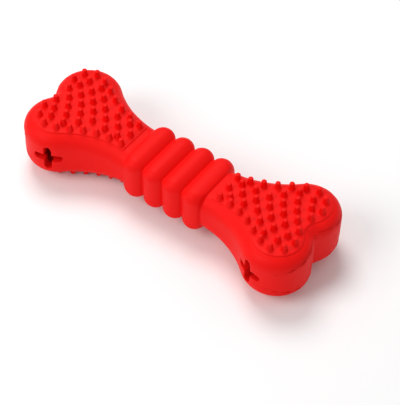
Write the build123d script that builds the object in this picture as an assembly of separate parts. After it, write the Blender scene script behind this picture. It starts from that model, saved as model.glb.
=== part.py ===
from build123d import *
import os
from math import asin, atan2, cos, hypot, radians, sin, sqrt

# A hollow rubber chew bone: two double-lobed ends with nubbed pads, joined by a ribbed waist.
# Lengths are millimetres. X runs along the bone, Y across it, Z up, and the floor is at zero.

# Ends in plan
length = 180.0
lobe_radius = 18.7
lobe_spread = 13.3             # from the long axis to the middle of a lobe
notch_radius = 3.0             # fillet between the two lobes of an end
flank_radius = 48.4            # hollow side curve from neck to lobe
neck_half_width = 15.6

# Ends in thickness
neck_half_height = 11.4
tip_half_height = 15.1
face_bulge = 1.1               # how far each face stands above a straight climb from neck to tip
rim_radius = 7.7               # round edge of an end
wall = 5.0

# Nubbed pads
pad_inset = 5.2                # from the end's outline to the pad's edge
pad_setback = 1.9              # from the neck's face to the pad's straight edge
pad_rise = 0.5                 # how far a pad stands above the end round it
pad_depth = 1.4                # how deep a pad is let into the end
pad_fit = 0.1                  # clearance round a pad in its recess
nub_base_radius = 1.9
nub_tip_radius = 1.1
nub_height = 4.1
nub_root = 0.8                 # how deep a nub's foot is sunk in its pad
nub_flank_border = 2.5         # from the pad's edge to its outer row of nubs, along the flanks
nub_lobe_border = 3.8          # the same round the lobes
nub_first = 3.5                # from the pad's straight edge to its first nubs
nub_spacing = 7.35             # along the outer row
nub_column_pitch = 8.4         # along X, inside the outer row
nub_row_pitch = 5.5            # along Y, inside the outer row
nub_row_lean = 0.35            # how far a row moves along X for the square of its number
nub_least_gap = 4.2            # between an inner nub and the outer row
nub_row_end_angle = 4.0        # degrees past a lobe's tip where the outer row ends

# Ribbed waist
rib_count = 4
rib_pitch = 12.77
rib_half_width = 18.0
rib_half_height = 14.6
rib_corner_radius = 6.4
crest_radius = 6.8             # round of a rib's crest
neck_flank_radius = 6.4        # rounder flank of the two ribs beside the necks
crest_depth = 4.0              # thickness of the crest over a rib's core
groove_gap = 2.4               # room between neighbouring ribs
groove_depth = 3.9             # from a crest to the web in a groove
neck_web_step = 0.3            # how far a neck web stands inside the neck's outline

# Cross-shaped treat slots
slot_angle = 19.5              # degrees from square across, turned towards the waist
slot_length = 16.0
slot_height = 16.0
slot_arm_width = 4.3           # the arms have round ends

# Running past a face in every cut
overrun = 1.0

# Places that follow from those sizes
lobe_x = length / 2 - lobe_radius
neck_x = rib_count / 2 * rib_pitch + groove_gap / 2
pad_x = neck_x + pad_setback
face_half_run = (length / 2 - neck_x) / 2
face_half_climb = (tip_half_height - neck_half_height) / 2
face_half_chord = hypot(face_half_run, face_half_climb)
face_radius = (face_half_chord**2 + face_bulge**2) / (2 * face_bulge)
face_drop = (face_radius - face_bulge) / face_half_chord
arch_x = neck_x + face_half_run + face_drop * face_half_climb
arch_z = neck_half_height + face_half_climb - face_drop * face_half_run
flank_y = neck_half_width + flank_radius
flank_x = lobe_x - sqrt((flank_radius + lobe_radius) ** 2 - (flank_y - lobe_spread) ** 2)
flank_turn = atan2(lobe_x - flank_x, flank_y - lobe_spread)
notch_x = lobe_x + sqrt((lobe_radius + notch_radius) ** 2 - lobe_spread**2)
notch_turn = atan2(lobe_spread, notch_x - lobe_x)
slot_tip_length = slot_arm_width / 2
chamber_rim_radius = rim_radius - wall
face_across = length
quarter_turn = radians(90)


# Height of a face over the middle plane: a shallow arch along the bone
def pad_level(x):
    return arch_z + sqrt(face_radius**2 - (x - arch_x) ** 2)


def on_circle(centre_x, centre_y, radius, turn):
    return (centre_x + radius * cos(turn), centre_y + radius * sin(turn))


# Plan face of an end, drawn in from its outline by a set distance
def plan_face(inset):
    side = neck_half_width - inset
    lobe = lobe_radius - inset
    flank = flank_radius + inset
    notch = notch_radius + inset
    lobe_start = quarter_turn + flank_turn
    lobe_end = -notch_turn
    flank_start = -quarter_turn
    flank_end = flank_start + flank_turn
    start = (flank_x - length, side)
    neck = on_circle(flank_x, flank_y, flank, flank_start)
    flank_middle = on_circle(flank_x, flank_y, flank, (flank_start + flank_end) / 2)
    shoulder = on_circle(flank_x, flank_y, flank, flank_end)
    lobe_middle = on_circle(lobe_x, lobe_spread, lobe, (lobe_start + lobe_end) / 2)
    notch_lip = on_circle(lobe_x, lobe_spread, lobe, lobe_end)
    notch_bottom = (notch_x - notch, 0)
    near = [
        Line(start, neck),
        ThreePointArc(neck, flank_middle, shoulder),
        ThreePointArc(shoulder, lobe_middle, notch_lip),
    ]
    far = [mirror(edge, about=Plane.XZ) for edge in near]
    notch_arc = ThreePointArc(notch_lip, notch_bottom, (notch_lip[0], -notch_lip[1]))
    back = Line(start, (start[0], -side))
    return make_face(near + [notch_arc] + far + [back])


# Everything from one X outwards
def beyond(from_x):
    return Pos(from_x + length, 0, 0) * Box(2 * length, 2 * length, 2 * length)


# Everything between the two arched faces, set in by a depth, from inside the waist outwards
def wedge(depth):
    from_x = neck_x / 2
    start = (from_x, pad_level(from_x) - depth)
    top = (arch_x, pad_level(arch_x) - depth)
    end = (length, pad_level(length) - depth)
    upper = ThreePointArc(start, top, end)
    lower = mirror(upper, about=Plane.XZ)
    near = Line(start, (start[0], -start[1]))
    far = Line(end, (end[0], -end[1]))
    return extrude(Plane.XZ * make_face([upper, far, lower, near]), amount=face_across, both=True)


# A plan face raised and cut to those arched faces, its long edges rounded, from one X outwards
def rounded_end(inset, depth, from_x, radius):
    block = extrude(plan_face(inset), amount=length, both=True) & wedge(depth)
    by_height = block.faces().sort_by(Axis.Z)
    rims = []
    for face in (by_height[0], by_height[-1]):
        rims += [edge for edge in face.edges() if edge.bounding_box().size.X > pad_fit]
    return fillet(rims, radius) & beyond(from_x)


# A flat slab of a rounded oblong section, standing across X
def oblong(half_width, half_height, corner, from_x, to_x):
    section = RectangleRounded(2 * half_width, 2 * half_height, corner)
    return extrude(Plane.YZ.offset(from_x) * section, amount=to_x - from_x)


# The whole space above the middle plane
def upper_space():
    return Pos(0, 0, length) * Box(2 * length, 2 * length, 2 * length)


# The prism over one upper pad, drawn in from the end's outline and from the pad's straight edge
def pad_prism(inset, from_x):
    return extrude(plan_face(inset), amount=length) & beyond(from_x)


# Places of the nubs on one pad: an outer row that follows the edge, and leaning rows inside it
def nub_places():
    flank = flank_radius + pad_inset + nub_flank_border
    lobe = lobe_radius - pad_inset - nub_lobe_border
    first_x = pad_x + nub_first
    flank_start = asin((first_x - flank_x) / flank)
    flank_run = flank * (flank_turn - flank_start)
    lobe_start = quarter_turn + flank_turn
    lobe_run = lobe * (lobe_start + radians(nub_row_end_angle))
    steps = round((flank_run + lobe_run) / nub_spacing)
    outer = []
    for step in range(steps + 1):
        run = (flank_run + lobe_run) * step / steps
        if run < flank_run:
            turn = flank_start + run / flank
            place = on_circle(flank_x, flank_y, flank, turn - quarter_turn)
        else:
            place = on_circle(lobe_x, lobe_spread, lobe, lobe_start - (run - flank_run) / lobe)
        outer += [place, (place[0], -place[1])]
    field = plan_face(pad_inset + nub_flank_border).face()
    inner = []
    rows = int(lobe_spread / nub_row_pitch) + 2
    columns = int((length / 2 - first_x) / nub_column_pitch) + 2
    for row in range(-rows, rows + 1):
        lean = nub_row_lean * row**2
        stagger = nub_column_pitch / 2 * (row % 2)
        for column in range(columns):
            x = first_x + nub_column_pitch * column + stagger + lean
            y = nub_row_pitch * row
            gap = min(hypot(x - a, y - b) for a, b in outer)
            if gap >= nub_least_gap and field.is_inside((x, y, 0)):
                inner.append((x, y))
    return outer + inner


# Everything of the right end that lies under its pads
def under_pads():
    return rounded_end(pad_depth, pad_depth, neck_x - overrun, rim_radius - pad_depth)


# Upper pad of the right end, with its nubs
def nub_pad(places):
    crown = rounded_end(-pad_rise, -pad_rise, neck_x - overrun, rim_radius + pad_rise)
    plate = (crown & pad_prism(pad_inset + pad_fit, pad_x + pad_fit)) - under_pads()
    upright = (Align.CENTER, Align.CENTER, Align.MIN)
    cone = Cone(nub_base_radius, nub_tip_radius, nub_root + nub_height, align=upright)
    nubs = []
    for x, y in places:
        foot = pad_level(x) + pad_rise - nub_root
        nubs.append(Pos(x, y, foot) * cone)
    return plate + nubs


# Outline of a cross slot: two crossed bars with round ends
def slot_cross():
    level_arm = SlotOverall(slot_length, slot_arm_width)
    upright_arm = SlotOverall(slot_height, slot_arm_width, rotation=90)
    return level_arm + upright_arm


# Corner of wall between two arms of a slot, as a triangle in the slot's own plane
def lip_triangle(side, up):
    inner = slot_arm_width / 2
    along = slot_length / 2 - slot_tip_length
    above = slot_height / 2 - slot_tip_length
    corners = [(side * inner, up * inner), (side * along, up * inner), (side * inner, up * above)]
    return make_face(Polyline(*corners, close=True))


# Plane of the front slot of the right end, facing outwards
def slot_plane():
    turn = radians(slot_angle)
    out = (-sin(turn), -cos(turn), 0)
    along = (cos(turn), -sin(turn), 0)
    place = (lobe_x + lobe_radius * out[0], -lobe_spread + lobe_radius * out[1], 0)
    return Plane(origin=place, x_dir=along, z_dir=out)


# A drawing in the slot's plane, carried through the wall
def through_wall(drawing):
    plane = slot_plane()
    inward = extrude(plane * drawing, amount=-2 * wall)
    outward = extrude(plane * drawing, amount=wall)
    return inward + outward


# Upper shell and upper lips of the right end
def end_shell():
    outside = rounded_end(0, 0, neck_x, rim_radius)
    chamber = rounded_end(wall, wall, neck_x - overrun, chamber_rim_radius)
    wall_body = (outside - chamber) & upper_space()
    recess = pad_prism(pad_inset, pad_x) - under_pads()
    shell = wall_body - recess
    lips = {}
    opening = slot_cross()
    for side, end in ((1, "tip"), (-1, "waist")):
        lips[end] = wall_body & through_wall(lip_triangle(side, 1))
        for up in (1, -1):
            opening += lip_triangle(side, up)
    cut = through_wall(opening)
    shell = shell - cut - mirror(cut, about=Plane.XZ)
    return shell, lips


# The flat way through the waist, for a ring of a set half thickness
def passage(half):
    reach = half + overrun
    return oblong(neck_half_width - wall, neck_half_height - wall, chamber_rim_radius, -reach, reach)


# One rib: a core with a rounded crest swept round it, open through the middle
def rib(middle_x, left_radius, right_radius):
    half = (rib_pitch - groove_gap) / 2
    core_height = rib_half_height - crest_depth
    core_reach = crest_depth - overrun / 2
    core_corner = rib_corner_radius - crest_depth
    core = oblong(rib_half_width - core_reach, rib_half_height - core_reach, core_corner, -half, half)
    left_drop = left_radius - sqrt(left_radius**2 - half**2)
    right_drop = right_radius - sqrt(right_radius**2 - half**2)
    left_middle = asin(half / left_radius) / 2
    right_middle = asin(half / right_radius) / 2
    top = (0, rib_half_height)
    left_edge = (-half, rib_half_height - left_drop)
    right_edge = (half, rib_half_height - right_drop)
    left_over = on_circle(0, rib_half_height - left_radius, left_radius, quarter_turn + left_middle)
    right_over = on_circle(0, rib_half_height - right_radius, right_radius, quarter_turn - right_middle)
    profile = make_face(
        [
            ThreePointArc(left_edge, left_over, top),
            ThreePointArc(top, right_over, right_edge),
            Line(right_edge, (half, core_height)),
            Line((half, core_height), (-half, core_height)),
            Line((-half, core_height), left_edge),
        ]
    )
    outline = RectangleRounded(2 * rib_half_width, 2 * rib_half_height, rib_corner_radius)
    crest = sweep(Plane.XZ * profile, path=(Plane.YZ * outline).wire())
    return Pos(middle_x, 0, 0) * (core + crest - passage(half))


# A thin web that joins two neighbours, open through the middle
def web(middle_x, half_width, half_height, corner):
    half = groove_gap / 2
    ring = oblong(half_width, half_height, corner, -half, half)
    return Pos(middle_x, 0, 0) * (ring - passage(half))


places = nub_places()
lowest = max(places)
middle_z = pad_level(lowest[0]) + pad_rise + nub_height
os.makedirs("parts", exist_ok=True)


def save(shape, name):
    solid = Pos(0, 0, middle_z) * shape
    export_step(solid, f"parts/{name}.step")
    print(name, round(solid.volume), "mm3")


# The right upper pieces, turned half round the long axis for below and round the upright one for left
shell, front_lips = end_shell()
pad = nub_pad(places)
back_lips = {place: mirror(lip, about=Plane.XZ) for place, lip in front_lips.items()}
lips = {"front": front_lips, "back": back_lips}
other = {"front": "back", "back": "front"}
turns = {("right", "upper"): Rot(0, 0, 0), ("right", "lower"): Rot(180, 0, 0)}
turns |= {("left", "upper"): Rot(0, 0, 180), ("left", "lower"): Rot(0, 180, 0)}
for (end, level), turn in turns.items():
    save(turn * shell, f"{end}_{level}_shell")
    save(turn * pad, f"{end}_{level}_pad")
    swapped = (end == "left") != (level == "lower")
    for side in other:
        source = lips[other[side]] if swapped else lips[side]
        for place, lip in source.items():
            save(turn * lip, f"{end}_{side}_{level}_{place}_lip")

# Ribs along the waist, counted from the left
for number in range(rib_count):
    middle_x = (number - (rib_count - 1) / 2) * rib_pitch
    left_radius = neck_flank_radius if number == 0 else crest_radius
    right_radius = neck_flank_radius if number == rib_count - 1 else crest_radius
    save(rib(middle_x, left_radius, right_radius), f"rib_{number + 1}")

# Webs in the grooves and at the two necks
for number in range(rib_count - 1):
    middle_x = (number - (rib_count - 2) / 2) * rib_pitch
    web_width = rib_half_width - groove_depth
    web_height = rib_half_height - groove_depth
    ring = web(middle_x, web_width, web_height, rib_corner_radius - groove_depth)
    save(ring, f"groove_web_{number + 1}")
for end, side in (("left", -1), ("right", 1)):
    middle_x = side * rib_count / 2 * rib_pitch
    web_width = neck_half_width - neck_web_step
    web_height = neck_half_height - neck_web_step
    ring = web(middle_x, web_width, web_height, rim_radius - neck_web_step)
    save(ring, f"{end}_neck_web")
print("nubs on a pad:", len(places))
print("middle plane at", round(middle_z, 3), " lowest nub at", lowest)
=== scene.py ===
from math import asin, atan2, cos, hypot, pi, radians, sin, sqrt

import bmesh
import bpy
import numpy as np
from mathutils import Matrix, Vector


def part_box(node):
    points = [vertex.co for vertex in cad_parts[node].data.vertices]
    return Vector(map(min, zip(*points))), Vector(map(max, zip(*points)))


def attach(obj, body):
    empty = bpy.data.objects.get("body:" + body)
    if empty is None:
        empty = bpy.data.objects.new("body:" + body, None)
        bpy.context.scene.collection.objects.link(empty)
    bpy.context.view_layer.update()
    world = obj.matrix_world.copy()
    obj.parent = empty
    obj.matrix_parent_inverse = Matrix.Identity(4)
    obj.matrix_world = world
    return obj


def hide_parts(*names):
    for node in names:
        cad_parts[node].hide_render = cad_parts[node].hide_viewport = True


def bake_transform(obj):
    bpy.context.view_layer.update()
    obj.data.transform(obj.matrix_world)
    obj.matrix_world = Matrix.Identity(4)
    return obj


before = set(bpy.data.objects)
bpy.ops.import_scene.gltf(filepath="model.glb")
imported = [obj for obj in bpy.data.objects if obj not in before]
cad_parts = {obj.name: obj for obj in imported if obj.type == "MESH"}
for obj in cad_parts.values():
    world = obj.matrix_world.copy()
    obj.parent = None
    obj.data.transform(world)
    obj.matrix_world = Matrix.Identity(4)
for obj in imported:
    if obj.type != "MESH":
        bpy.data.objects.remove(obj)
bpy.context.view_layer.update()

# A red rubber chew bone. Lengths are millimetres from the middle of the bone until a mesh is made.
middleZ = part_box("right_upper_shell")[0].z * 1000
print("frame loaded,", len(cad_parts), "nodes, middle plane at", round(middleZ, 3))

# Sizes that several pieces share. A face's grid closes at fanX.
end = {
    "length": 180.0,
    "lobeRadius": 18.7,
    "lobeSpread": 13.3,
    "notchRadius": 3.0,
    "flankRadius": 48.4,
    "neckHalfWidth": 15.6,
    "neckHalfHeight": 11.4,
    "tipHalfHeight": 15.1,
    "faceBulge": 1.1,
    "rimRadius": 7.7,
    "wall": 5.0,
    "padInset": 5.2,
    "padSetback": 1.9,
    "padRise": 0.5,
    "fanX": 62.0,
    "bendX": 38.0,
}
waist = {"pitch": 12.77, "gap": 2.4}
meshing = {"merge": 2e-6, "sliver": 1e-7, "sharpAngle": 40}

webX = 2 * waist["pitch"]
neckX = webX + waist["gap"] / 2
padX = neckX + end["padSetback"]
lobeX = end["length"] / 2 - end["lobeRadius"]
flankY = end["neckHalfWidth"] + end["flankRadius"]
flankX = lobeX - sqrt((end["flankRadius"] + end["lobeRadius"]) ** 2 - (flankY - end["lobeSpread"]) ** 2)
flankTurn = atan2(lobeX - flankX, flankY - end["lobeSpread"])
notchX = lobeX + sqrt((end["lobeRadius"] + end["notchRadius"]) ** 2 - end["lobeSpread"] ** 2)
notchTurn = atan2(end["lobeSpread"], notchX - lobeX)

# The arch of a face is a circle through the neck, the tip and a point that bulges between them.
halfRun = (end["length"] / 2 - neckX) / 2
halfClimb = (end["tipHalfHeight"] - end["neckHalfHeight"]) / 2
halfChord = hypot(halfRun, halfClimb)
faceRadius = (halfChord**2 + end["faceBulge"] ** 2) / (2 * end["faceBulge"])
faceDrop = (faceRadius - end["faceBulge"]) / halfChord
archX = neckX + halfRun + faceDrop * halfClimb
archZ = end["neckHalfHeight"] + halfClimb - faceDrop * halfRun


def faceHeight(x):
    return archZ + np.sqrt(faceRadius**2 - (x - archX) ** 2)


# Gathers grids of points into one closed mesh. Neighbouring grids share their edge points.
class Surface:
    def __init__(self):
        self.points = []
        self.quads = []
        self.count = 0

    def grid(self, points, keep=None):
        rows, columns = points.shape[:2]
        index = np.arange(rows * columns).reshape(rows, columns) + self.count
        quads = np.stack([index[:-1, :-1], index[:-1, 1:], index[1:, 1:], index[1:, :-1]], -1)
        self.quads.append(quads.reshape(-1, 4) if keep is None else quads[keep])
        self.points.append(points.reshape(-1, 3))
        self.count += rows * columns

    def build(self, name, signs, shiftX=0):
        points = np.concatenate(self.points) * np.array(signs) + np.array([shiftX, 0, middleZ])
        quads = np.concatenate(self.quads)
        mesh = bpy.data.meshes.new(name)
        mesh.from_pydata((points / 1000).tolist(), [], quads.tolist())
        shape = bmesh.new()
        shape.from_mesh(mesh)
        bmesh.ops.remove_doubles(shape, verts=shape.verts, dist=meshing["merge"])
        bmesh.ops.dissolve_degenerate(shape, edges=shape.edges, dist=meshing["sliver"])
        bmesh.ops.recalc_face_normals(shape, faces=shape.faces)
        shape.to_mesh(mesh)
        shape.free()
        mesh.shade_smooth()
        mesh.set_sharp_from_angle(angle=radians(meshing["sharpAngle"]))
        mesh.materials.append(redRubber)
        piece = bpy.data.objects.new(name, mesh)
        bpy.context.collection.objects.link(piece)
        return piece


# Unit vectors in the plan, one for each angle.
def ray(angle):
    return np.stack([np.cos(angle), np.sin(angle)], -1)


def place(x, y, z):
    return np.stack(np.broadcast_arrays(x, y, z), -1)


# A point in the frame's metres.
def inRow(x, y, z):
    return Vector((x / 1000, y / 1000, (z + middleZ) / 1000))


# Shader sums are written as sums: a socket with operators, and one method for any node.
class Flow:
    def __init__(self, tree, socket):
        self.tree = tree
        self.socket = socket

    def node(self, kind, output=0, inputs=(), **settings):
        made = self.tree.nodes.new(kind)
        for key, value in settings.items():
            setattr(made, key, value)
        for key, value in dict(inputs).items():
            if isinstance(value, Flow):
                self.tree.links.new(value.socket, made.inputs[key])
            else:
                made.inputs[key].default_value = value
        return Flow(self.tree, made.outputs[output])

    def maths(self, operation, first, second):
        return self.node("ShaderNodeMath", 0, {0: first, 1: second}, operation=operation)

    def __add__(self, other):
        return self.maths("ADD", self, other)

    def __radd__(self, other):
        return self.maths("ADD", other, self)

    def __sub__(self, other):
        return self.maths("SUBTRACT", self, other)

    def __rsub__(self, other):
        return self.maths("SUBTRACT", other, self)

    def __mul__(self, other):
        return self.maths("MULTIPLY", self, other)

    def __rmul__(self, other):
        return self.maths("MULTIPLY", other, self)


# Red rubber: a satin skin with a fine grain and a slight unevenness of colour and gloss.
rubber = {
    "deep": (0.84, 0.0050, 0.0040, 1),
    "bright": (0.90, 0.0070, 0.0058, 1),
    "roughness": 0.5,
    "specular": 0.09,
    "noiseMiddle": 0.5,
    "grain": {"Scale": 2600.0, "Detail": 2.0},
    "grainGloss": 0.08,
    "grainBump": {"Distance": 0.00004, "Strength": 0.5},
    "cloud": {"Scale": 40.0, "Detail": 3.0},
    "cloudGloss": 0.12,
}


def rubberMaterial():
    material = bpy.data.materials.new("redRubber")
    material.use_nodes = True
    tree = material.node_tree
    shader = tree.nodes["Principled BSDF"]
    start = Flow(tree, None)
    coordinates = start.node("ShaderNodeTexCoord", "Object")
    grain = start.node("ShaderNodeTexNoise", 0, {"Vector": coordinates, **rubber["grain"]})
    cloud = start.node("ShaderNodeTexNoise", 0, {"Vector": coordinates, **rubber["cloud"]})
    shades = {0: cloud, 6: rubber["deep"], 7: rubber["bright"]}
    colour = start.node("ShaderNodeMix", 2, shades, data_type="RGBA")
    cloudGloss = (cloud - rubber["noiseMiddle"]) * rubber["cloudGloss"]
    grainGloss = (grain - rubber["noiseMiddle"]) * rubber["grainGloss"]
    gloss = rubber["roughness"] + cloudGloss + grainGloss
    bump = start.node("ShaderNodeBump", 0, {"Height": grain, **rubber["grainBump"]})
    tree.links.new(colour.socket, shader.inputs["Base Color"])
    tree.links.new(gloss.socket, shader.inputs["Roughness"])
    tree.links.new(bump.socket, shader.inputs["Normal"])
    shader.inputs["Specular IOR Level"].default_value = rubber["specular"]
    return material


redRubber = rubberMaterial()
print("material made")

# Stations along an end's outline, from the neck round a lobe into the notch and back on the far side:
# straight neck, hollow flank, round lobe, hollow notch, each with its inward direction.
outline = {"straight": 4, "flank": 40, "lobe": 76, "notch": 9}


def outlineStations():
    straight = np.linspace(webX, flankX, outline["straight"], endpoint=False)
    neckIn = np.zeros((outline["straight"], 2)) - [0, 1]
    flankIn = ray(np.linspace(0, flankTurn, outline["flank"], endpoint=False) - pi / 2)
    lobeIn = -ray(np.linspace(pi / 2 + flankTurn, -notchTurn, outline["lobe"], endpoint=False))
    notchIn = ray(np.linspace(pi - notchTurn, pi, outline["notch"]))
    points = np.concatenate(
        [
            np.stack([straight, np.full_like(straight, end["neckHalfWidth"])], -1),
            [flankX, flankY] + end["flankRadius"] * flankIn,
            [lobeX, end["lobeSpread"]] - end["lobeRadius"] * lobeIn,
            [notchX, 0] + end["notchRadius"] * notchIn,
        ]
    )
    inward = np.concatenate([neckIn, flankIn, lobeIn, notchIn])
    points = np.concatenate([points, points[-2::-1] * [1, -1]])
    inward = np.concatenate([inward, inward[-2::-1] * [1, -1]])
    return points, inward


stationPoint, stationIn = outlineStations()
stationRun = np.concatenate([[0], np.cumsum(np.hypot(*np.diff(stationPoint, axis=0).T))])

# Rows from the upper face over the rim, down the wall and round to the lower face:
# a turn over the rim, and a share of the wall's height.
skin = {"rim": 12, "wall": 22, "neckLine": 13, "fill": 9, "rimPasses": 4}
rimTurn = np.linspace(pi / 2, 0, skin["rim"] + 1)
wallShare = np.linspace(1, -1, skin["wall"] + 1)[1:-1]
rowTurn = np.concatenate([rimTurn, 0 * wallShare, -rimTurn[::-1]])
rowShare = np.concatenate([0 * rimTurn + 1, wallShare, 0 * rimTurn - 1])


# An end's skin set in by an offset: upright wall, then a quarter circle over the rim.
def skinGrid(offset):
    radius = end["rimRadius"] - offset
    inset = offset + radius * (1 - np.cos(rowTurn[:, None]))
    x = stationPoint[:, 0] + inset * stationIn[:, 0]
    y = stationPoint[:, 1] + inset * stationIn[:, 1]
    height = faceHeight(x) - offset
    z = rowShare[:, None] * (height - radius) + radius * np.sin(rowTurn[:, None])
    return place(x, y, z)


# The same skin at any run along the outline and any height. Over the rim the inset and the face's
# height depend on each other, so they are worked out in a few passes.
def skinPoint(run, z, offset):
    radius = end["rimRadius"] - offset
    baseX = np.interp(run, stationRun, stationPoint[:, 0])
    baseY = np.interp(run, stationRun, stationPoint[:, 1])
    inX = np.interp(run, stationRun, stationIn[:, 0])
    inY = np.interp(run, stationRun, stationIn[:, 1])
    inset = offset + 0 * z
    for rimPass in range(skin["rimPasses"]):
        height = faceHeight(baseX + inset * inX) - offset
        over = np.clip(np.abs(z) - height + radius, 0, radius)
        inset = offset + radius - np.sqrt(radius**2 - over**2)
    return place(baseX + inset * inX, baseY + inset * inY, z)


# Treat slots: a cross with round arm ends, seen square to the lobe's wall. Each is cut in a window of
# the skin's grid, between two rows and two stations.
slot = {
    "angle": 19.5,
    "half": 8.0,
    "arm": 2.15,
    "window": 13.5,
    "topRow": 7,
    "rings": 9,
    "crowding": 0.6,
    "edge": 0.45,
    "edgeTurns": (25, 50, 70, 90),
    "tube": 7,
}
slotTurn = radians(slot["angle"])
slotOut = np.array([-sin(slotTurn), cos(slotTurn)])
slotAlong = np.array([cos(slotTurn), sin(slotTurn)])
slotPlace = np.array([lobeX, end["lobeSpread"]]) + end["lobeRadius"] * slotOut
slotReach = slot["half"] - slot["arm"]
slotCorner = atan2(slot["arm"], slotReach)
nearSlot = np.abs((stationPoint - slotPlace) @ slotAlong) < slot["window"]
slotSpan = np.flatnonzero(nearSlot & (stationPoint[:, 1] > 0))
slotFirst, slotLast = slotSpan[0], slotSpan[-1]
slotTop, slotLow = slot["topRow"], len(rowTurn) - 1 - slot["topRow"]


# How far the opening reaches at each angle: a round arm end, or the straight root of a lip.
def openingReach(angle, grow):
    folded = np.abs((angle + pi / 4) % (pi / 2) - pi / 4)
    onArm = folded < slotCorner
    growth = grow * np.clip(1 - (folded / slotCorner) ** 2, 0, 1)
    across = (slotReach + slot["arm"]) / (np.cos(folded) + np.sin(folded))
    under = np.where(onArm, (slot["arm"] + growth) ** 2 - (slotReach * np.sin(folded)) ** 2, 1)
    return np.where(onArm, slotReach * np.cos(folded) + np.sqrt(np.maximum(under, 0)), across)


# The run along the outline of a place in the slot's plane, on the skin at an offset.
def slotRun(along, offset):
    reach = (stationPoint[slotSpan] + offset * stationIn[slotSpan] - slotPlace) @ slotAlong
    return np.interp(along, reach, stationRun[slotSpan])


# A place in the slot's plane, laid on the skin at an offset.
def slotPoint(along, z, offset):
    return skinPoint(slotRun(along, offset), z, offset)


# A place in the slot's plane at a depth under the outer skin.
def slotDeep(along, z, depth):
    outer = slotPoint(along, z, 0)
    inner = slotPoint(along, z, end["wall"])
    thick = np.linalg.norm(inner - outer, axis=-1, keepdims=True)
    return outer + (inner - outer) * (np.asarray(depth)[..., None] / thick)


# The window's border on a skin grid, once round.
def windowBorder(values):
    sides = [
        values[slotTop, slotFirst:slotLast],
        values[slotTop:slotLow, slotLast],
        values[slotLow, slotLast:slotFirst:-1],
        values[slotLow:slotTop:-1, slotFirst],
    ]
    return np.concatenate(sides)


# Rings from the window's border to the opening, in even lines of run and height, closer near the opening.
def slotPatch(grid, offset, angle, grow):
    run = windowBorder(np.broadcast_to(stationRun, grid.shape[:2]))
    height = windowBorder(grid[..., 2])
    reach = openingReach(angle, grow)
    edgeRun = slotRun(reach * np.cos(angle), offset)
    edgeHeight = reach * np.sin(angle)
    share = np.linspace(0, 1, slot["rings"])[:, None]
    share = share * (1 + slot["crowding"] * (1 - share))
    patch = skinPoint(run + (edgeRun - run) * share, height + (edgeHeight - height) * share, offset)
    patch[0] = windowBorder(grid)
    return patch


def closeRing(rings):
    return np.concatenate([rings, rings[:, :1]], axis=1)


# A face inside a closed border, drawn in to one point, at the height that a rule gives for X.
def fillFace(border, level, rings):
    centre = np.array([end["fanX"], 0.0])
    share = np.linspace(1, 0, rings)[:, None, None]
    plan = centre + share * (border[None, :, :2] - centre)
    face = place(plan[..., 0], plan[..., 1], level(plan[..., 0]))
    face[0] = border
    return closeRing(face)


# Even steps across a neck, from side to side.
def neckLine(y):
    return np.linspace(-y, y, skin["neckLine"])


# An end's shell: outer and inner skin with their faces, a ring that joins them at the neck, and in each
# side wall the rings round a slot and a tube through the wall.
def endShell():
    shell = Surface()
    grids = {}
    neckLoops = []
    stations = len(stationRun)
    keep = np.ones((len(rowTurn) - 1, stations - 1), bool)
    keep[slotTop:slotLow, slotFirst:slotLast] = False
    keep[slotTop:slotLow, stations - 1 - slotLast : stations - 1 - slotFirst] = False
    for offset in (0, end["wall"]):
        grid = skinGrid(offset)
        grids[offset] = grid
        shell.grid(grid, keep)
        topLine = place(webX, neckLine(grid[0, 0, 1]), faceHeight(webX) - offset)[1:-1]
        border = np.concatenate([grid[0], topLine])
        face = fillFace(border, lambda x: faceHeight(x) - offset, skin["fill"])
        shell.grid(face)
        shell.grid(face * [1, 1, -1])
        lowLine = topLine[::-1] * [1, 1, -1]
        neckLoops.append(np.concatenate([grid[:, 0], lowLine, grid[::-1, -1], topLine]))
    shell.grid(closeRing(np.stack(neckLoops)))
    border = windowBorder(grids[0])
    angle = np.arctan2(border[:, 2], (border[:, :2] - slotPlace) @ slotAlong)
    # the nearest line of the rings is turned to each corner where an arm meets a lip's root
    for corner in np.arange(4) * pi / 2 - pi:
        for turn in (corner + slotCorner, corner + pi / 2 - slotCorner):
            angle[np.argmin(np.abs((angle - turn + pi) % (2 * pi) - pi))] = turn
    outer = slotPatch(grids[0], 0, angle, slot["edge"])
    inner = slotPatch(grids[end["wall"]], end["wall"], angle, 0)
    tube = [outer[-1]]
    for turn in np.radians(slot["edgeTurns"]):
        reach = openingReach(angle, slot["edge"] * (1 - sin(turn)))
        depth = np.full_like(angle, slot["edge"] * (1 - cos(turn)))
        tube.append(slotDeep(reach * np.cos(angle), reach * np.sin(angle), depth))
    share = np.linspace(0, 1, slot["tube"])[1:, None, None]
    tube = np.concatenate([np.stack(tube), tube[-1] + (inner[-1] - tube[-1]) * share])
    for part in (outer, inner, tube):
        for side in (1, -1):
            shell.grid(closeRing(part) * [1, side, 1])
    return shell


# The corner of wall between two arms: a triangle of wall with rounded edges along the arms.
lip = {
    "across": 15,
    "deep": 11,
    "edge": 0.5,
    "edgeTurns": (0, 22, 45, 67, 90),
    "wallShares": (0.33, 0.67, 1.0),
    "middle": 3.0,
}


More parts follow.
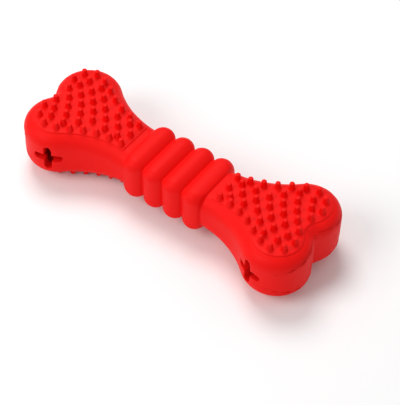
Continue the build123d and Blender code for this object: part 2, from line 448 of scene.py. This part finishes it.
def slotLip(spot):
    def cap(inset, depth):
        near = slot["arm"] + inset
        far = slotReach - inset
        share = np.linspace(0, 1, lip["across"])
        rootAlong = far + (near - far) * share
        rootHeight = near + (far - near) * share
        pull = np.linspace(0, 1, lip["deep"])[:, None]
        along = rootAlong + (near - rootAlong) * pull
        height = rootHeight + (near - rootHeight) * pull
        return slotDeep(spot * along, height, np.full_like(along, depth))

    def border(grid):
        return np.concatenate([grid[:-1, 0], grid[::-1, -1], grid[0, ::-1][1:]])

    edge = lip["edge"]
    steps = [(edge * (1 - sin(turn)), edge * (1 - cos(turn))) for turn in np.radians(lip["edgeTurns"])]
    middle = (np.array(spot * lip["middle"]), np.array(lip["middle"]))
    thick = np.linalg.norm(slotPoint(*middle, end["wall"]) - slotPoint(*middle, 0))
    stack = [cap(inset, depth) for inset, depth in steps]
    stack += [cap(0, edge + (thick - 2 * edge) * share) for share in lip["wallShares"]]
    stack += [cap(inset, thick - depth) for inset, depth in steps[-2::-1]]
    surface = Surface()
    surface.grid(stack[0])
    surface.grid(stack[-1])
    surface.grid(np.stack([border(grid) for grid in stack]))
    return surface


# A pad lies on the face inside the rim. Its rings are distances inside its edge.
pad = {
    "fit": 0.1,
    "edge": 0.4,
    "root": 0.9,
    "flank": 40,
    "lobe": 64,
    "notch": 15,
    "line": 21,
    "fill": 12,
    "rings": (0, 0.02, 0.07, 0.15, 0.26, 0.4, 0.75, 1.2, 1.8, 2.5),
}


# A pad's height follows the face and the round of the rim, both raised square to their surface.
def crownHeight(inset, x):
    radius = end["rimRadius"] + end["padRise"]
    off = np.clip(end["rimRadius"] - inset, 0, None)
    return faceHeight(x) + end["padRise"] - radius + np.sqrt(radius**2 - off**2)


# A closed border at one distance inside the pad's edge, and how far it lies inside the end's outline.
def padBorder(inside):
    inset = end["padInset"] + pad["fit"] + inside
    startX = padX + pad["fit"] + inside
    flankStart = asin((startX - flankX) / (end["flankRadius"] + inset))
    flank = np.linspace(flankStart, flankTurn, pad["flank"], endpoint=False) - pi / 2
    lobe = np.linspace(pi / 2 + flankTurn, -notchTurn, pad["lobe"], endpoint=False)
    notch = np.linspace(pi - notchTurn, pi, pad["notch"])
    side = np.concatenate(
        [
            [flankX, flankY] + (end["flankRadius"] + inset) * ray(flank),
            [lobeX, end["lobeSpread"]] + (end["lobeRadius"] - inset) * ray(lobe),
            [notchX, 0] + (end["notchRadius"] + inset) * ray(notch),
        ]
    )
    side = np.concatenate([side, side[-2::-1] * [1, -1]])
    line = np.linspace(side[-1, 1], side[0, 1], pad["line"])[1:]
    edge = np.stack([np.full_like(line, startX), line], -1)
    edgeInset = np.hypot(edge[:, 0] - flankX, flankY - np.abs(edge[:, 1])) - end["flankRadius"]
    plan = np.concatenate([side, edge])
    insets = np.concatenate([np.full(len(side), inset), edgeInset])
    return plan, insets


# Nubs: their shape, and their places in an outer row that follows the edge and leaning rows inside it.
# The flare gives radii beyond the base, each with its height.
nub = {
    "base": 1.9,
    "tip": 1.25,
    "height": 4.1,
    "root": 0.6,
    "rootRadius": 1.7,
    "flare": ((0.3, -0.03), (0.12, 0.1), (-0.02, 0.3)),
    "coneStart": 0.7,
    "coneStop": 0.78,
    "coneRows": 5,
    "tipRound": 0.75,
    "tipSwell": 0.2,
    "tipTurns": (20, 40, 60, 75, 90),
    "crown": 0.02,
    "sides": 28,
    "flankBorder": 2.5,
    "lobeBorder": 3.8,
    "first": 3.5,
    "spacing": 7.35,
    "columns": 9,
    "columnPitch": 8.4,
    "rowsAside": 4,
    "rowPitch": 5.5,
    "rowLean": 0.35,
    "leastGap": 4.2,
    "rowEnd": 4.0,
}


def nubPlaces():
    flank = end["flankRadius"] + end["padInset"] + nub["flankBorder"]
    lobe = end["lobeRadius"] - end["padInset"] - nub["lobeBorder"]
    firstX = padX + nub["first"]
    flankStart = asin((firstX - flankX) / flank)
    flankRun = flank * (flankTurn - flankStart)
    lobeStart = pi / 2 + flankTurn
    wholeRun = flankRun + lobe * (lobeStart + radians(nub["rowEnd"]))
    run = np.linspace(0, wholeRun, round(wholeRun / nub["spacing"]) + 1)
    onFlank = [flankX, flankY] + flank * ray(flankStart + run / flank - pi / 2)
    onLobe = [lobeX, end["lobeSpread"]] + lobe * ray(lobeStart - (run - flankRun) / lobe)
    outer = np.where((run < flankRun)[:, None], onFlank, onLobe)
    outer = np.concatenate([outer, outer * [1, -1]])
    row = np.arange(-nub["rowsAside"], nub["rowsAside"] + 1)[:, None]
    column = np.arange(nub["columns"])
    x = firstX + nub["columnPitch"] * (column + (row % 2) / 2) + nub["rowLean"] * row**2
    inner = place(x, nub["rowPitch"] * row, 0)[..., :2].reshape(-1, 2)
    gap = np.linalg.norm(inner[:, None] - outer[None], axis=-1).min(1)
    depth = end["padInset"] + nub["flankBorder"]
    x, aside = inner[:, 0], np.abs(inner[:, 1])
    shoulderX = flankX + (end["flankRadius"] + depth) * sin(flankTurn)
    underFlank = np.hypot(x - flankX, flankY - aside) > end["flankRadius"] + depth
    inLobe = np.hypot(x - lobeX, aside - end["lobeSpread"]) < end["lobeRadius"] - depth
    beforeNotch = (np.hypot(x - notchX, aside) > end["notchRadius"] + depth) & (x < notchX)
    waistSide = (x < shoulderX) & underFlank
    between = (x >= shoulderX) & (aside < end["lobeSpread"]) & beforeNotch
    inside = waistSide | inLobe | between
    return np.concatenate([outer, inner[inside & (gap >= nub["leastGap"])]])


# A nub's radii and heights: a root in the pad, a flared foot, a straight cone and a rounded tip.
def nubProfile():
    slope = (nub["base"] - nub["tip"]) / nub["height"]
    flareOut, flareRise = np.transpose(nub["flare"])
    rise = np.linspace(nub["coneStart"], nub["height"] - nub["coneStop"], nub["coneRows"])
    turn = np.radians(nub["tipTurns"])
    flat = nub["tip"] - nub["tipRound"] + nub["tipSwell"]
    radius = [
        [0, nub["rootRadius"]],
        nub["base"] + flareOut,
        nub["base"] - slope * rise,
        flat + nub["tipRound"] * np.cos(turn),
        [0],
    ]
    height = [
        [-nub["root"], -nub["root"]],
        flareRise,
        rise,
        nub["height"] - nub["tipRound"] + nub["tipRound"] * np.sin(turn),
        [nub["height"] + nub["crown"]],
    ]
    return np.concatenate(radius)[:, None], np.concatenate(height)[:, None]


# A pad: a rounded edge, a face at the crown's height, an underside set in the shell, and its nubs, each
# a profile turned about an upright line, with a foot that follows the face.
def nubPad():
    surface = Surface()
    rings = []
    for inside in pad["rings"]:
        plan, insets = padBorder(inside)
        left = max(pad["edge"] - inside, 0)
        drop = pad["edge"] - sqrt(pad["edge"] ** 2 - left**2)
        rings.append(place(plan[:, 0], plan[:, 1], crownHeight(insets, plan[:, 0]) - drop))
    foot = rings[0] - [0, 0, pad["root"]]
    surface.grid(closeRing(np.stack([foot] + rings)))
    surface.grid(fillFace(rings[-1], lambda x: faceHeight(x) + end["padRise"], pad["fill"]))
    under = fillFace(foot, faceHeight, pad["fill"])
    share = np.linspace(1, 0, pad["fill"])[:, None]
    under[..., 2] = under[0, :, 2] * share + (faceHeight(under[..., 0]) - pad["root"]) * (1 - share)
    surface.grid(under)
    radius, height = nubProfile()
    around = np.linspace(0, 2 * pi, nub["sides"] + 1)
    low = np.clip(1 - height / nub["coneStart"], 0, 1)
    for x, y in nubPlaces():
        ringX = x + radius * np.cos(around)
        ringY = y + radius * np.sin(around)
        base = faceHeight(x) + (faceHeight(ringX) - faceHeight(x)) * low
        surface.grid(place(ringX, ringY, base + end["padRise"] + height))
    return surface


# A rounded oblong across the bone, in the same rows as an end's neck.
def section(halfWidth, halfHeight, corner):
    y = halfWidth - corner * (1 - np.cos(rowTurn))
    z = rowShare * (halfHeight - corner) + corner * np.sin(rowTurn)
    side = place(0, y, z)
    top = place(0, neckLine(y[0])[1:-1], halfHeight)
    return np.concatenate([side, top[::-1] * [1, 1, -1], side[::-1] * [1, -1, 1], top])


# Ribs: a section is half its width, half its height and its corner's radius.
rib = {
    "section": (18.4, 13.7, 5.6),
    "crest": 7.0,
    "groove": 0.5,
    "neckReach": 5.75,
    "neckTurn": 72,
    "rows": 22,
    "grooveRows": 6,
    "hollowRows": 8,
}


# From crest to neck: part of a quarter ellipse, then a parabola as a small hollow at its foot.
def neckProfile():
    turn = np.linspace(0, radians(rib["neckTurn"]), rib["rows"])
    arc = np.stack([rib["neckReach"] * np.sin(turn), 1 - np.cos(turn)], -1)
    corner = np.array([rib["neckReach"], 1.0])
    last = np.array([waist["pitch"] / 2, 1.0])
    share = np.linspace(0, 1, rib["hollowRows"] + 1)[1:, None]
    hollow = (1 - share) ** 2 * arc[-1] + 2 * share * (1 - share) * corner + share**2 * last
    x, drop = np.concatenate([arc, hollow]).T
    neck = np.array([end["neckHalfWidth"], faceHeight(webX), end["rimRadius"]])
    return x, rib["section"] + (neck - rib["section"]) * drop[:, None]


# From crest to groove: a round crest, then a small round at the bottom of the groove.
def grooveProfile():
    halfPitch = waist["pitch"] / 2
    reach = rib["crest"] + rib["groove"]
    lean = asin(halfPitch / reach)
    turn = np.linspace(0, lean, rib["rows"])
    bottom = np.linspace(lean, 0, rib["grooveRows"] + 1)[1:]
    centre = rib["crest"] - reach * cos(lean)
    x = np.concatenate([rib["crest"] * np.sin(turn), halfPitch - rib["groove"] * np.sin(bottom)])
    drop = np.concatenate([rib["crest"] * (1 - np.cos(turn)), centre + rib["groove"] * np.cos(bottom)])
    return x, rib["section"] - drop[:, None]


# Half a rib, from its crest to the middle of a groove or to a neck, open through the middle.
def ribHalf(profile):
    x, sizes = profile()
    rows = np.stack([section(*size) for size in sizes])
    rows[..., 0] = x[:, None]
    bore = section(*(end[key] - end["wall"] for key in ("neckHalfWidth", "neckHalfHeight", "rimRadius")))
    bores = np.stack([bore + [waist["pitch"] / 2, 0, 0], bore])
    surface = Surface()
    surface.grid(closeRing(np.concatenate([rows, bores, rows[:1]])))
    return surface


shellSurface = endShell()
padSurface = nubPad()
lipSurfaces = {"tip": slotLip(1), "waist": slotLip(-1)}
print("surfaces made, nubs on a pad:", len(nubPlaces()))

# Ends: a shell and two pads for each end, made in place of the frame's shells and pads.
endSides = (("right", 1), ("left", -1))
levelSides = (("upper", 1), ("lower", -1))
for endName, sideX in endSides:
    body, web = f"{endName}_end", f"{endName}_neck_web"
    near, far = inRow(sideX * webX, 0, 0), inRow(sideX * end["bendX"], 0, 0)
    shell = shellSurface.build(f"{endName}Shell", (sideX, 1, 1))
    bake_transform(shell)
    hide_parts(f"{endName}_upper_shell", f"{endName}_lower_shell")
    for levelName, sideZ in levelSides:
        piece = padSurface.build(f"{endName}{levelName.title()}Pad", (sideX, 1, sideZ))
        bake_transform(piece)
        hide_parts(f"{endName}_{levelName}_pad")
print("shells and pads made")

# Lips: one at each slot's tip and waist corner, on each end, side and level.
rootPlace = (slotReach + slot["arm"]) / 2
halfWall = np.array(end["wall"] / 2)
for endName, sideX in endSides:
    for sideName, sideY in (("front", -1), ("back", 1)):
        for levelName, sideZ in levelSides:
            for spotName, spot in (("tip", 1), ("waist", -1)):
                node = f"{endName}_{sideName}_{levelName}_{spotName}_lip"
                name = endName + sideName.title() + levelName.title() + spotName.title() + "Lip"
                signs = np.array([sideX, sideY, sideZ])
                piece = lipSurfaces[spotName].build(name, signs)
                root = slotDeep(np.array(spot * rootPlace), np.array(rootPlace), halfWall) * signs
                tip = slotDeep(np.array(spot * slot["arm"]), np.array(slot["arm"]), halfWall) * signs
                inRow(*root)
                inRow(*tip)
                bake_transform(piece)
                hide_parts(node)
print("lips made")

# Waist: each rib in two halves, each from its crest to the middle of a groove or to a neck.
# Two halves ride whole on their rib, because a bend between their bodies drifts when bend and sway combine.
grooveSurface = ribHalf(grooveProfile)
neckSurface = ribHalf(neckProfile)
webs = ["left_neck_web", "groove_web_1", "groove_web_2", "groove_web_3", "right_neck_web"]
stiffHalves = (("rib_2", "groove_web_1"), ("rib_3", "groove_web_3"))
for number in range(4):
    crestX = (number - 1.5) * waist["pitch"]
    body = f"rib_{number + 1}"
    for side, sideName, web in ((-1, "Left", webs[number]), (1, "Right", webs[number + 1])):
        surface = neckSurface if "neck" in web else grooveSurface
        half = surface.build(f"rib{number + 1}{sideName}", (side, 1, 1), crestX)
        if (body, web) in stiffHalves:
            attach(half, body)
        else:
            inRow(crestX, 0, 0)
            inRow(crestX + side * waist["pitch"] / 2, 0, 0)
            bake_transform(half)
        if side < 0:
            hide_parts(body, *([web] if number == 0 else []))
        else:
            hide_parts(web)
print("waist made")

# Floor, light and camera
stage = {
    "floor": (0.95, 0.95, 0.95, 1),
    "floorReach": 4.0,
    "sky": 0.48,
    "lamps": {
        "above": {"power": 6.0, "size": 0.6, "stand": (-0.4, 0.3, 1.0)},
        "front": {"power": 4.9, "size": 0.7, "stand": (-0.4, -0.75, 0.75)},
    },
}


def flatFloor():
    mesh = bpy.data.meshes.new("floor")
    reach = stage["floorReach"]
    corners = [(-reach, -reach, 0), (reach, -reach, 0), (reach, reach, 0), (-reach, reach, 0)]
    mesh.from_pydata(corners, [], [(0, 1, 2, 3)])
    material = bpy.data.materials.new("paleFloor")
    material.use_nodes = True
    tree = material.node_tree
    matt = Flow(tree, None).node("ShaderNodeBsdfDiffuse", 0, {"Color": stage["floor"]})
    tree.links.new(matt.socket, tree.nodes["Material Output"].inputs["Surface"])
    mesh.materials.append(material)
    floor = bpy.data.objects.new("floor", mesh)
    bpy.context.collection.objects.link(floor)


# A round soft lamp that looks at the middle of the floor.
def softLamp(name, power, size, stand):
    data = bpy.data.lights.new(name, "AREA")
    data.shape = "DISK"
    data.size = size
    data.energy = power
    lamp = bpy.data.objects.new(name, data)
    lamp.location = stand
    lamp.rotation_euler = (-Vector(stand)).to_track_quat("-Z", "Y").to_euler()
    bpy.context.collection.objects.link(lamp)


def evenSky():
    world = bpy.data.worlds.new("sky")
    world.use_nodes = True
    background = world.node_tree.nodes["Background"]
    background.inputs["Color"].default_value = (1, 1, 1, 1)
    background.inputs["Strength"].default_value = stage["sky"]
    bpy.context.scene.world = world


# The photograph's camera: degrees round and up from the front, focal length and image side in pixels.
view = {
    "azimuth": 34.609,
    "elevation": 48.719,
    "roll": 1.467,
    "focal": 1387.6,
    "imageSide": 405.0,
    "distance": 728.37,
    "aimX": 19.376,
    "aimY": -7.605,
    "sensor": 36.0,
    "clipStart": 0.01,
    "clipEnd": 20.0,
}


def photoCamera():
    azimuth, elevation, roll = (radians(view[key]) for key in ("azimuth", "elevation", "roll"))
    back = Vector((sin(azimuth) * cos(elevation), -cos(azimuth) * cos(elevation), sin(elevation)))
    right = Vector((cos(azimuth), sin(azimuth), 0))
    up = back.cross(right)
    turnedRight = cos(roll) * right + sin(roll) * up
    turnedUp = cos(roll) * up - sin(roll) * right
    data = bpy.data.cameras.new("camera")
    data.sensor_width = view["sensor"]
    data.lens = view["focal"] * view["sensor"] / view["imageSide"]
    data.clip_start = view["clipStart"]
    data.clip_end = view["clipEnd"]
    camera = bpy.data.objects.new("camera", data)
    stand = inRow(view["aimX"], view["aimY"], 0) + back * view["distance"] / 1000
    turn = Matrix((turnedRight, turnedUp, back)).transposed()
    camera.matrix_world = Matrix.Translation(stand) @ turn.to_4x4()
    bpy.context.collection.objects.link(camera)
    bpy.context.scene.camera = camera


flatFloor()
for lampName, lamp in stage["lamps"].items():
    softLamp(lampName, **lamp)
evenSky()
photoCamera()
bpy.context.scene.view_settings.view_transform = "Standard"
print("stage made")
